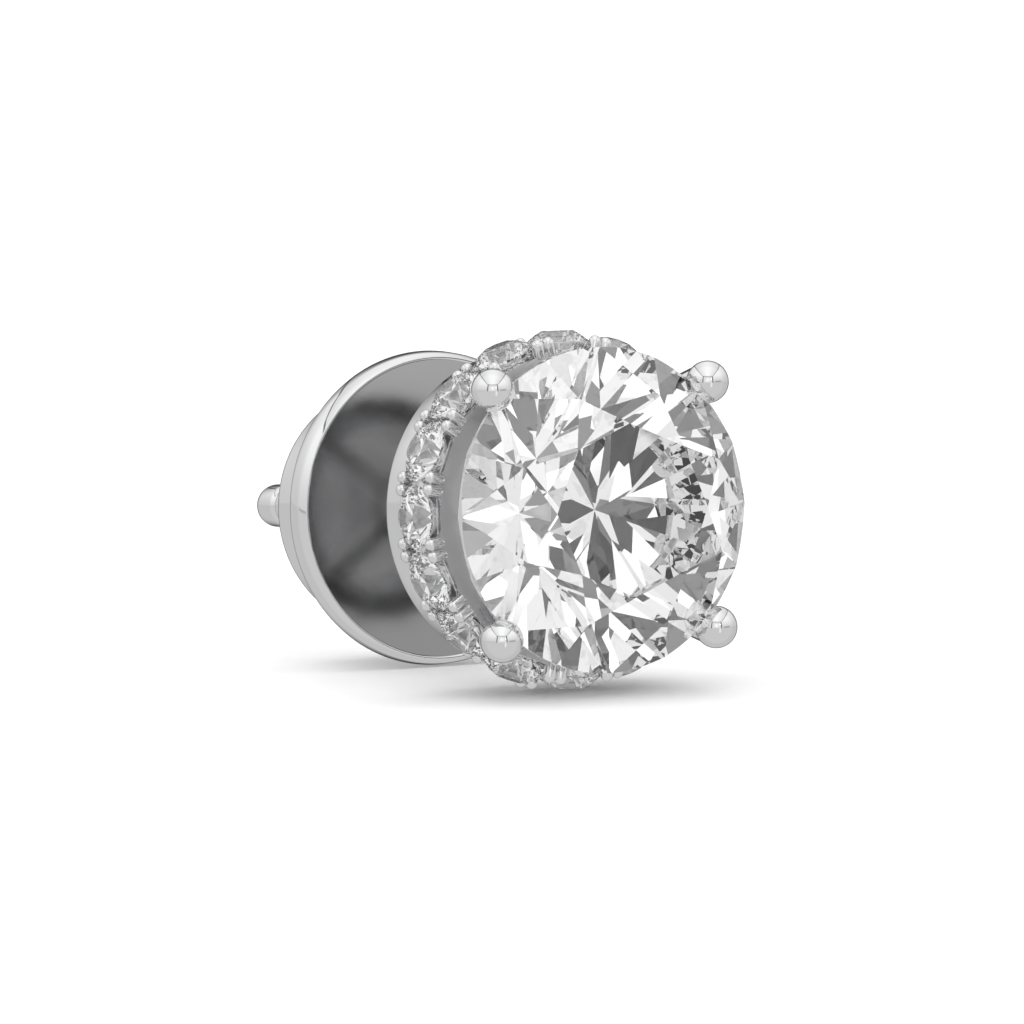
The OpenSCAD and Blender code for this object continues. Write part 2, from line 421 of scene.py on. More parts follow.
@dataclass(frozen=True)
class CutCrystal(Finish):
    """Clear cut and polished crystal.

    Args:
        index: Refractive index.
        polish: Lowest and highest roughness of the facets.
        line_depth: Depth of the polishing lines on the facets, in metres.
    """

    index: float = 2.36
    polish: tuple[float, float] = (0.0, 0.004)
    line_depth: float = 4e-9

    def shader(self, plan: NodePlan) -> bpy.types.Node:
        """Lays out clear crystal with the faintest polishing lines."""
        lines = plan.noise(5000, 2, (1, 6, 1))
        clouds = plan.noise(700, 2)
        bump = plan.add("ShaderNodeBump", {"Strength": 1.0, "Distance": self.line_depth, "Height": lines})
        shader = plan.add("ShaderNodeBsdfPrincipled", {
            "Base Color": plan.between(clouds, (0.975, 0.975, 0.98), (1.0, 1.0, 1.0)),
            "Roughness": plan.step(clouds, 0.4, 0.8, *self.polish),
            "Transmission Weight": 1.0,
            "Normal": bump.outputs["Normal"],
        })
        shader.inputs["IOR"].default_value = self.index
        return shader


@dataclass(frozen=True)
class PaleFloor(Finish):
    """Pale matt studio floor."""

    def shader(self, plan: NodePlan) -> bpy.types.Node:
        """Lays out a pale matt surface with a very fine grain."""
        grain = plan.noise(400, 4)
        return plan.add("ShaderNodeBsdfPrincipled", {
            "Base Color": plan.between(grain, (0.89, 0.89, 0.89), (0.91, 0.91, 0.91)),
            "Roughness": plan.step(grain, 0.3, 0.7, 0.55, 0.65),
        })


# Pieces -------------------------------------------------------------------


@dataclass
class SubAssembly:
    """A group of pieces that are placed in the post's frame.

    Args:
        lie: The post's frame.
    """

    lie: PostFrame

    def publish(
        self, mesh: bmesh.types.BMesh, name: str, body: Body, slot: Slot, finishes: list[Finish],
        replaced: list[str], shading: Shading,
    ) -> bpy.types.Object:
        """Turns a finished mesh into a piece that rides on its body.

        Args:
            mesh: The mesh in millimetres along the post. It is used up.
            name: Name of the piece.
            body: Body that it rides on.
            slot: The record's material slot. It is not used.
            finishes: One finish for each material number of the mesh.
            replaced: Solids that the piece stands for.
            shading: How its faces are shaded.

        Returns:
            The piece.
        """
        bmesh.ops.transform(mesh, matrix=self.lie.matrix, verts=mesh.verts)
        smooth = shading is Shading.POLISHED
        for face in mesh.faces:
            face.smooth = smooth
        data = bpy.data.meshes.new(name)
        mesh.to_mesh(data)
        mesh.free()
        if smooth:
            data.set_sharp_from_angle(angle=math.radians(32))
        for finish in finishes:
            data.materials.append(finish.material())
        piece = bpy.data.objects.new(name, data)
        bpy.context.scene.collection.objects.link(piece)
        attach(piece, body.value)
        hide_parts(*replaced)
        LOG.info("%s: %d faces", name, len(data.polygons))
        return piece


@dataclass(frozen=True)
class BrilliantCut:
    """Round brilliant with its table towards -Z and its girdle's front corners at Z = 0.

    Args:
        diameter: Diameter at the girdle.
        table: Table width, corner to corner, as a share of the diameter.
        crown: Crown height as a share of the diameter.
        girdle: Girdle thickness as a share of the diameter.
        pavilion: Slope of the pavilion, in degrees.
        rim_steps: Steps of the round girdle.
        star: How far the star facets reach from the table to the girdle.
        lower: How far the lower facets reach from the girdle to the culet.
    """

    diameter: float
    table: float
    crown: float
    girdle: float
    pavilion: float = 40.75
    rim_steps: int = 160
    star: float = 0.5
    lower: float = 0.8

    @property
    def radius(self) -> float:
        """Radius of the girdle."""
        return self.diameter / 2

    @property
    def table_radius(self) -> float:
        """Radius of the table's corners."""
        return self.radius * self.table

    @property
    def crown_height(self) -> float:
        """Height of the crown."""
        return self.diameter * self.crown

    @property
    def girdle_height(self) -> float:
        """Height of the girdle at its corners."""
        return self.diameter * self.girdle

    @property
    def pavilion_slope(self) -> float:
        """Rise of the pavilion for each millimetre inwards."""
        return math.tan(math.radians(self.pavilion))

    def facets(self) -> Iterator[tuple[float, float, float, float]]:
        """Planes of all the sloped facets.

        Returns:
            For each facet its azimuth in degrees, a radius and a height that it passes through, and its
            slope, which is negative on the crown.
        """
        eighth, half_step = math.cos(math.radians(22.5)), math.cos(math.radians(11.25))
        crown_slope = self.crown_height / (self.radius - self.table_radius)
        table_flat = self.table_radius * eighth
        star_at = table_flat + self.star * (self.radius - table_flat)
        star_height = -(self.radius - star_at * eighth) * crown_slope
        lower_at = self.radius * (1 - self.lower)
        lower_height = (self.radius - lower_at * eighth) * self.pavilion_slope
        upper_slope = star_height / ((self.radius - star_at) * half_step)
        lower_slope = lower_height / ((self.radius - lower_at) * half_step)
        star_slope = (self.crown_height + star_height) / (star_at - table_flat)
        for k in range(8):
            yield 45 * k, self.radius, 0, -crown_slope
            yield 45 * k + 22.5, table_flat, -self.crown_height, -star_slope
            yield 45 * k, self.radius, self.girdle_height, self.pavilion_slope
        for k in range(16):
            yield 22.5 * k + 11.25, self.radius * half_step, 0, upper_slope
            yield 22.5 * k + 11.25, self.radius * half_step, self.girdle_height, lower_slope

    def cut(self) -> bmesh.types.BMesh:
        """Cuts the stone from a round blank, one facet after another.

        Returns:
            The closed stone.
        """
        stone = bmesh.new()
        blank = 3 * self.diameter
        bmesh.ops.create_cone(
            stone, cap_ends=True, cap_tris=False, segments=self.rim_steps,
            radius1=self.radius, radius2=self.radius, depth=blank,
        )
        self._grind(stone, Vector((0, 0, -self.crown_height)), Vector((0, 0, -1)))
        for azimuth, radius, height, slope in self.facets():
            turn = Matrix.Rotation(math.radians(azimuth), 3, "Z")
            side = math.copysign(1, slope)
            normal = turn @ Vector((abs(slope), 0, side)).normalized()
            self._grind(stone, turn @ Vector((radius, 0, height)), normal)
        bmesh.ops.remove_doubles(stone, verts=stone.verts, dist=2e-4)
        bmesh.ops.dissolve_degenerate(stone, edges=stone.edges, dist=1e-5)
        bmesh.ops.recalc_face_normals(stone, faces=stone.faces)
        return stone

    @staticmethod
    def _grind(stone: bmesh.types.BMesh, point: Vector, normal: Vector) -> None:
        """Grinds one flat facet.

        Args:
            stone: The stone so far.
            point: A point on the facet.
            normal: Direction that the facet faces.
        """
        cut = bmesh.ops.bisect_plane(
            stone, geom=Bench.everything(stone), dist=1e-5, plane_co=point, plane_no=normal, clear_outer=True
        )
        open_edges = [
            item for item in cut["geom_cut"] if isinstance(item, bmesh.types.BMEdge) and item.is_boundary
        ]
        if open_edges:
            bmesh.ops.edgeloop_fill(stone, edges=open_edges)

    def space(self, gap: float, above: float, steps: int) -> bmesh.types.BMesh:
        """Turned space that the stone needs in the metal.

        Args:
            gap: How much larger than the stone the space is all round.
            above: How far it goes on in front of the table.
            steps: Steps of its full turn.

        Returns:
            The space as a closed mesh.
        """
        reach = self.radius + gap
        crown_slope = self.crown_height / (self.radius - self.table_radius)
        top = reach - (self.crown_height + above) / crown_slope
        front = (
            [(0, -self.crown_height - above, 0), (top, -self.crown_height - above, 0)] if top > 0
            else [(0, -reach * crown_slope - gap, 0)]
        )
        return Bench.turned(
            [
                *front, (reach, -gap, 0), (reach, self.girdle_height + gap, 0),
                (0, self.girdle_height + gap + reach * self.pavilion_slope, 0),
            ],
            steps,
        )


@dataclass
class Stones(SubAssembly):
    """The large stone and the ring of small stones.

    Args:
        large: Cut of the large stone.
        small: Cut of the small stones.
        count: Number of small stones.
        gap: Gap between the girdles of two small stones.
        ring_at: Distance of the ring of small stones behind the large stone's girdle.
        facet_turn: Turn of the small stones' facets, in degrees.
    """

    large: BrilliantCut
    small: BrilliantCut
    count: int = 16
    gap: float = 0.05
    ring_at: float = 1.7
    facet_turn: float = 22.5
    finish: CutCrystal = field(default_factory=lambda: CutCrystal("clear_crystal"))

    @property
    def step(self) -> float:
        """Angle from one small stone to the next, in degrees."""
        return 360 / self.count

    @property
    def seat_radius(self) -> float:
        """Distance of the small stones' girdles from the post's axis."""
        half = math.radians(self.step / 2)
        return (self.small.radius * math.cos(half) + self.gap / 2) / math.sin(half)

    def seat(self, k: int) -> Matrix:
        """Matrix that sets small stone number k in the band."""
        out = Vector((self.seat_radius + self.small.girdle_height, 0, self.ring_at))
        turn = Matrix.Rotation(math.radians(self.step * k), 4, "Z")
        return turn @ Matrix.Translation(out) @ Matrix.Rotation(math.radians(-90), 4, "Y")

    def build(self) -> None:
        """Cuts all the stones and sets them in place."""
        self.publish(
            self.large.cut(), "large_brilliant", Body.EARRING, Slot.MAIN_CRYSTAL, [self.finish],
            ["main_stone"], Shading.CUT,
        )
        face_turn = Matrix.Rotation(math.radians(self.facet_turn), 4, "Z")
        for k in range(self.count):
            number = f"{k + 1:02d}"
            self.publish(
                Bench.moved(self.small.cut(), self.seat(k) @ face_turn), f"small_brilliant_{number}",
                Body.EARRING, Slot.HALO_CRYSTAL, [self.finish], [f"halo_stone_{number}"], Shading.CUT,
            )

    def small_spaces(self, gap: float) -> bmesh.types.BMesh:
        """Spaces of all the small stones in the band, each larger than its stone by the gap."""
        return Bench.ring_of(Bench.moved(self.small.space(gap, 1.0, 48), self.seat(0)), self.count)


@dataclass
class Setting(SubAssembly):
    """All the soldered metal of the head, and the ear post.

    Args:
        stones: The stones that it carries.
        front: Front face of the band.
        length: Length of the band along the post.
        bore: Radius of the hole through the band.
        drop: Depth of the band's flats below the small stones' girdles.
        rail: Thickness of the rail in front of each window.
    """

    stones: Stones
    front: float = 1.06
    length: float = 2.2
    bore: float = 2.45
    drop: float = 0.175
    rail: float = 0.15
    window_half: float = 0.43
    window_depth: float = 0.22
    bead_radius: float = 0.13
    bead_axial: float = 0.57
    bead_side: float = 0.125
    bead_rise: float = 0.055
    bead_root: float = 0.02
    foot_rise: float = 0.13
    ball_radius: float = 0.43
    ball_out: float = 0.243
    stem_top_radius: float = 0.36
    stem_foot_radius: float = 0.33
    stem_foot_at: float = 3.06
    arm_radius: float = 0.36
    arm_end_radius: float = 0.3
    basket_depth: float = 0.62
    collar_radius: float = 0.95
    post_radius: float = 0.475
    post_tip: float = 15.02
    seat_gap: float = 0.02
    finish: WhiteMetal = field(default_factory=lambda: WhiteMetal("polished_white_metal"))
    # Satin finish of the band's front face and of the inside of its windows and seats; its colour, darker than the
    # polish, is painted shade under the stones.
    matt: WhiteMetal = field(
        default_factory=lambda: WhiteMetal(
            "satin_white_metal_painted_shade", dull=(0.53, 0.53, 0.535), bright=(0.58, 0.58, 0.585), roughness=(0.26, 0.34),
        )
    )
    inner: WhiteMetal = field(
        default_factory=lambda: WhiteMetal("inner_white_metal", bright=(0.88, 0.88, 0.885), roughness=(0.26, 0.34))
    )

    @property
    def rear(self) -> float:
        """Rear face of the band."""
        return self.front + self.length

    @property
    def flat_radius(self) -> float:
        """Distance of the band's flats from the post's axis."""
        return self.stones.seat_radius - self.drop

    @property
    def basket_at(self) -> float:
        """Where the basket's arms meet the post."""
        return self.rear + self.basket_depth

    def band(self) -> bmesh.types.BMesh:
        """Makes the band: flats in front, round behind, with a window under each small stone.

        Returns:
            The band with its edges broken.
        """
        corner = self.flat_radius / math.cos(math.radians(self.stones.step / 2))
        round_radius = corner + 0.01
        middle = self.stones.ring_at
        flats = bmesh.new()
        bmesh.ops.create_cone(
            flats, cap_ends=True, segments=self.stones.count, radius1=corner, radius2=corner,
            depth=middle - self.front + 0.02,
            matrix=Matrix.Translation((0, 0, (middle + 0.02 + self.front) / 2))
            @ Matrix.Rotation(math.radians(self.stones.step / 2), 4, "Z"),
        )
        rear = Bench.turned(
            [(0, middle, 0), (round_radius, middle, 0), (round_radius, self.rear, 0.07), (0, self.rear, 0)], 192
        )
        band = Bench.soldered(flats, rear)
        bore = bmesh.new()
        bmesh.ops.create_cone(
            bore, cap_ends=True, segments=192, radius1=self.bore, radius2=self.bore, depth=2 * self.length,
            matrix=Matrix.Translation((0, 0, self.front + self.length / 2)),
        )
        band = Bench.filed(band, bore)
        band = Bench.filed(band, self.stones.small_spaces(self.seat_gap))
        band = Bench.filed(band, self.windows())
        band = Bench.broken_edges(band, 0.015, 30)
        for face in band.faces:
            face.material_index = self.band_finish(face)
        return band

    def band_finish(self, face: bmesh.types.BMFace) -> int:
        """Finds the finish of a face of the band.

        Args:
            face: A face of the band.

        Returns:
            1 for the front face and for the inside of the windows and seats, in satin metal whose darker colour is
            painted shade, 2 for the wall of the hole, and 0 for the polished rest.
        """
        centre = face.calc_center_median()
        at = math.hypot(centre.x, centre.y)
        outwards = (face.normal.x * centre.x + face.normal.y * centre.y) / at
        if at < self.bore + 0.05 and outwards < -0.5:
            return 2
        # The front face and the recesses get the satin metal, whose darker colour is painted shade under the stones.
        in_front = centre.z < self.front + 0.01 and face.normal.z < -0.95
        in_recess = at < self.flat_radius - 0.04 and outwards > -0.5 and centre.z < self.rear - 0.1
        return 1 if in_front or in_recess else 0

    def windows(self) -> bmesh.types.BMesh:
        """Spaces of the windows: each square in front and round behind.

        Returns:
            One cutter for all the windows.
        """
        half = self.window_half
        front = self.stones.ring_at - self.front - self.rail
        window = bmesh.new()
        start = window.verts.new((0, half, 0))
        bmesh.ops.spin(
            window, geom=[start], cent=(0, 0, 0), axis=Z_AXIS, angle=math.pi, steps=20, use_merge=False
        )
        window.verts.ensure_lookup_table()
        ends = [vertex for vertex in window.verts if len(vertex.link_edges) == 1]
        ends.sort(key=lambda vertex: vertex.co.y)
        corners = [window.verts.new((front, side * half, 0)) for side in (-1, 1)]
        window.edges.new((ends[0], corners[0]))
        window.edges.new((corners[0], corners[1]))
        window.edges.new((corners[1], ends[1]))
        bmesh.ops.bevel(
            window, geom=corners, offset=0.13, offset_type="OFFSET", segments=4, profile=0.5,
            affect="VERTICES", clamp_overlap=True, material=-1,
        )
        floor = bmesh.ops.edgeloop_fill(window, edges=window.edges)["faces"]
        raised = bmesh.ops.extrude_face_region(window, geom=floor)["geom"]
        depth = 1.2
        bmesh.ops.translate(
            window, vec=(0, 0, depth), verts=[item for item in raised if isinstance(item, bmesh.types.BMVert)]
        )
        bmesh.ops.recalc_face_normals(window, faces=window.faces)
        place = Matrix.Translation((self.flat_radius - self.window_depth, 0, self.stones.ring_at))
        turn = Matrix.Rotation(math.radians(90), 4, "Y")
        return Bench.ring_of(Bench.moved(window, place @ turn), self.stones.count)

    def bead_row(self, side: int) -> bmesh.types.BMesh:
        """Bead tips on one side of every pillar: each a dome on a short stem, in front and behind.

        Args:
            side: -1 or 1, the side of the pillars.

        Returns:
            The bead tips as one mesh, with the tall ones that the head stands on.
        """
        root = self.flat_radius - self.bead_root
        seat = self.stones.seat_radius + self.bead_rise
        beads = bmesh.new()
        bmesh.ops.create_uvsphere(beads, u_segments=20, v_segments=12, radius=self.bead_radius)
        bmesh.ops.bisect_plane(
            beads, geom=Bench.everything(beads), dist=1e-6, plane_co=(0, 0, 0), plane_no=(0, 0, -1),
            clear_outer=True,
        )
        stem = bmesh.ops.extrude_edge_only(beads, edges=[edge for edge in beads.edges if edge.is_boundary])["geom"]
        foot = [item for item in stem if isinstance(item, bmesh.types.BMVert)]
        bmesh.ops.translate(beads, vec=(0, 0, root - seat), verts=foot)
        bmesh.ops.scale(beads, vec=(0.9, 0.9, 1), verts=foot)
        bmesh.ops.edgeloop_fill(beads, edges=[edge for edge in beads.edges if edge.is_boundary])
        bmesh.ops.recalc_face_normals(beads, faces=beads.faces)
        Bench.moved(
            beads,
            Matrix.Translation((seat, side * self.bead_side, self.stones.ring_at - self.bead_axial))
            @ Matrix.Rotation(math.radians(90), 4, "Y"),
        )
        rear = bmesh.ops.duplicate(beads, geom=Bench.everything(beads))["geom"]
        bmesh.ops.translate(
            beads, vec=(0, 0, 2 * self.bead_axial),
            verts=[item for item in rear if isinstance(item, bmesh.types.BMVert)],
        )
        Bench.moved(beads, Matrix.Rotation(math.radians(self.stones.step / 2), 4, "Z"))
        Bench.ring_of(beads, self.stones.count)
        for pillar in (-0.5, 0.5):
            out = Matrix.Rotation(math.radians(90 + pillar * self.stones.step), 3, "Z") @ Vector((1, 0, 0))
            tall = [
                vertex for vertex in beads.verts
                if vertex.co.z > self.stones.ring_at and vertex.co.dot(out) > root + 0.1
                and (vertex.co - out * vertex.co.dot(out)).xy.length < 3 * self.bead_side
            ]
            bmesh.ops.translate(beads, vec=out * self.foot_rise, verts=tall)
        return beads

    def bead_tips(self) -> bmesh.types.BMesh:
        """Makes all the bead tips, cut clear of the small stones.

        Returns:
            The bead tips as closed skins.
        """
        tips = Bench.soldered(self.bead_row(-1), self.bead_row(1))
        tips = Bench.filed(tips, self.stones.small_spaces(self.seat_gap))
        bmesh.ops.remove_doubles(tips, verts=tips.verts, dist=1e-5)
        bmesh.ops.dissolve_degenerate(tips, edges=tips.edges, dist=1e-6)
        return tips

    def prongs(self) -> bmesh.types.BMesh:
        """The four prongs: a ball over the girdle on a stem that leans in to the band.

        Returns:
            The prongs, with the large stone's space cut out of them.
        """
        ball_at = self.stones.large.radius + self.ball_out
        top = 0.2
        foot = self.front + 0.05
        lean = math.atan2(ball_at - self.stem_foot_at, foot - top)
        height = math.hypot(ball_at - self.stem_foot_at, foot - top)
        prong = bmesh.new()
        bmesh.ops.create_uvsphere(
            prong, u_segments=64, v_segments=40, radius=self.ball_radius,
            matrix=Matrix.Translation((ball_at, 0, 0)) @ Matrix.Rotation(-lean, 4, "Y"),
        )
        stem = bmesh.new()
        bmesh.ops.create_cone(
            stem, cap_ends=True, segments=64, radius1=self.stem_top_radius, radius2=self.stem_foot_radius,
            depth=height,
            matrix=Matrix.Translation((ball_at, 0, top)) @ Matrix.Rotation(-lean, 4, "Y")
            @ Matrix.Translation((0, 0, height / 2)),
        )
        prong = Bench.soldered(prong, stem)
        Bench.moved(prong, Matrix.Rotation(math.radians(45), 4, "Z"))
        prongs = Bench.ring_of(prong, 4)
        return Bench.filed(prongs, self.stones.large.space(self.seat_gap, 1.0, 192))

    def basket(self) -> bmesh.types.BMesh:
        """The four arms behind the band and the collar that they meet in, cast in one.

        Returns:
            The basket.
        """
        start = Vector((self.bore + 0.3, 0, self.rear - 0.28))
        run, rise = start.x, self.basket_at - start.z
        length = math.hypot(run, rise)
        basket = bmesh.new()
        bmesh.ops.create_cone(
            basket, cap_ends=True, segments=48, radius1=self.arm_radius, radius2=self.arm_end_radius, depth=length,
            matrix=Matrix.Translation(start) @ Matrix.Rotation(-math.atan2(run, rise), 4, "Y")
            @ Matrix.Translation((0, 0, length / 2)),
        )
        Bench.moved(basket, Matrix.Rotation(math.radians(45), 4, "Z"))
        Bench.ring_of(basket, 4)
        collar = Bench.turned(
            [
                (0, self.basket_at - 0.25, 0), (self.collar_radius, self.basket_at - 0.25, 0.08),
                (self.collar_radius, self.basket_at, 0.05), (self.post_radius + 0.12, self.basket_at + 0.25, 0),
                (self.post_radius, self.basket_at + 0.32, 0), (self.post_radius, self.basket_at + 0.6, 0),
                (0, self.basket_at + 0.6, 0),
            ],
            96,
        )
        scratch = bpy.data.meshes.new("scratch")
        collar.to_mesh(scratch)
        collar.free()
        basket.from_mesh(scratch)
        bpy.data.meshes.remove(scratch)
        return Bench.cast(basket, 0.04, 4)

    def post(self) -> bmesh.types.BMesh:
        """The ear post with its friction groove and round tip.

        Returns:
            The post.
        """
        radius, tip = self.post_radius, self.post_tip
        groove = tip - radius - 0.65
        outline = [
            (0, self.basket_at + 0.4, 0), (radius, self.basket_at + 0.4, 0), (radius, groove - 0.12, 0.05),
            (radius - 0.07, groove - 0.03, 0.03), (radius - 0.07, groove + 0.03, 0.03), (radius, groove + 0.12, 0.05),
        ]
        outline += [
            (radius * math.cos(math.radians(6 * i)), tip - radius + radius * math.sin(math.radians(6 * i)), 0)
            for i in range(16)
        ]
        return Bench.turned(outline, 96)

    def build(self) -> None:
        """Makes the parts of the setting and sets them in place."""
        parts: dict[str, tuple[bmesh.types.BMesh, list[Finish]]] = {
            "setting_band": (self.band(), [self.finish, self.matt, self.inner]),
            "setting_bead_tips": (self.bead_tips(), [self.finish]),
            "setting_prongs": (self.prongs(), [self.finish]),
            "setting_basket": (self.basket(), [self.inner]),
            "ear_post": (self.post(), [self.finish]),
        }
        for name, (mesh, finishes) in parts.items():
            self.publish(mesh, name, Body.EARRING, Slot.SETTING_METAL, finishes, ["setting"], Shading.POLISHED)


@dataclass
class PushBack(SubAssembly):
    """The turned back: a disc with a domed satin face, whose dark colour is painted shade, and a round boss behind
    it, bored for the post.

    Args:
        radius: Widest radius of the rim.
        at: Distance of the rim's crest behind the large stone's girdle.
        face_rise: How far the middle of the face stands in front of its edge.
        boss_radius: Radius of the boss.
        boss_end: Distance of the boss's rear face behind the crest.
        boss_round: Rounding of the boss's rear edge.
        bore: Radius of the bore.
    """

    radius: float = 3.32
    at: float = 6.84
    face_rise: float = 0.25
    boss_radius: float = 2.6
    boss_end: float = 2.75
    boss_round: float = 0.3
    bore: float = 0.505
    polish: WhiteMetal = field(default_factory=lambda: WhiteMetal("polished_back_metal"))
    # Satin finish of the face; its dark colour is painted shade from the head in front of it.
    satin: WhiteMetal = field(
        default_factory=lambda: WhiteMetal(
            "satin_face_metal_painted_shade", dull=(0.37, 0.37, 0.375), bright=(0.41, 0.41, 0.415), roughness=(0.16, 0.2),
            mark_depth=3.0e-7,
        )
    )

    def build(self) -> None:
        """Turns the back and gives its face a satin finish, whose dark colour is painted shade."""
        face_edge, face_edge_at = self.radius - 0.2, self.at + 0.06
        middle = face_edge_at - self.face_rise
        outline = [
            (radius, middle + self.face_rise * (radius / face_edge) ** 2, 0)
            for radius in (self.bore + (face_edge - self.bore) * i / 32 for i in range(33))
        ]
        rear = self.at + self.boss_end
        outline += [
            (self.radius - 0.14, self.at, 0.05), (self.radius - 0.03, self.at + 0.19, 0.08),
            (self.radius, self.at + 0.5, 0), (self.radius - 0.03, self.at + 0.6, 0.03),
            (self.boss_radius, self.at + 0.78, 0.03),
        ]
        outline += [
            (
                self.boss_radius + self.boss_round * (math.cos(math.radians(6 * i)) - 1),
                rear + self.boss_round * (math.sin(math.radians(6 * i)) - 1), 0,
            )
            for i in range(16)
        ]
        outline += [(self.bore + 0.1, rear, 0), (self.bore, rear - 0.1, 0)]
        back = Bench.turned(outline, 192)
        # The face takes the dark satin metal: painted shade.
        for face in back.faces:
            centre = face.calc_center_median()
            in_face = math.hypot(centre.x, centre.y) < face_edge and centre.z < self.at + 0.1
            face.material_index = 1 if in_face and face.normal.z < -0.3 else 0
        self.publish(
            back, "domed_back", Body.BACK, Slot.BACK_METAL, [self.polish, self.satin], ["back"],
            Shading.POLISHED,
        )


# Camera and light ---------------------------------------------------------


@dataclass(frozen=True)
class PhotoCamera:
    """The photograph's camera.

    Args:
        azimuth: Direction round the earring, in degrees.
        elevation: Height above the horizon, in degrees.
        roll: Roll to the right, in degrees.
        distance: Distance to the large stone's girdle, in millimetres.
        scale: Pixels in each millimetre at that distance.
        aim: Pixel at which the middle of the girdle shows.
    """

    azimuth: float = -29.204
    elevation: float = 4.580
    roll: float = -0.463
    distance: float = 104.3031
    scale: float = 50.2426
    aim: tuple[float, float] = (605.837, 510.067)

    def place(self, girdle: Vector) -> None:
        """Sets up the scene's camera.

        Args:
            girdle: Middle of the large stone's girdle, in metres.
        """
        a, e, r = (math.radians(angle) for angle in (self.azimuth, self.elevation, self.roll))
        back = Vector((math.sin(a) * math.cos(e), -math.cos(a) * math.cos(e), math.sin(e)))
        right = Vector((math.cos(a), math.sin(a), 0))
        up = back.cross(right)
        right, up = right * math.cos(r) + up * math.sin(r), up * math.cos(r) - right * math.sin(r)
        focal = self.scale * self.distance
        middle = IMAGE_SIDE / 2
        across = (self.aim[0] - middle) * self.distance / focal * MM
        above = (middle - self.aim[1]) * self.distance / focal * MM
        data = bpy.data.cameras.new("photo_camera")
        data.sensor_width = SENSOR_MM
        data.lens = SENSOR_MM * focal / IMAGE_SIDE
        data.clip_start, data.clip_end = 0.002, 20
        camera = bpy.data.objects.new("photo_camera", data)
        bpy.context.scene.collection.objects.link(camera)
        place = girdle - across * right - above * up + self.distance * MM * back
        camera.matrix_world = Matrix((
            (right.x, up.x, back.x, place.x), (right.y, up.y, back.y, place.y),
            (right.z, up.z, back.z, place.z), (0, 0, 0, 1),
        ))
        bpy.context.scene.camera = camera


@dataclass(frozen=True)
class Card:
    """One light or dark card that shows in the stones, seen from the earring.

    Args:
        turn: Where it starts and ends, in degrees to the right of the camera.
        rise: Where it starts and ends, in degrees above the horizon.
        level: Its brightness.
    """

    turn: tuple[float, float]
    rise: tuple[float, float]
    level: float


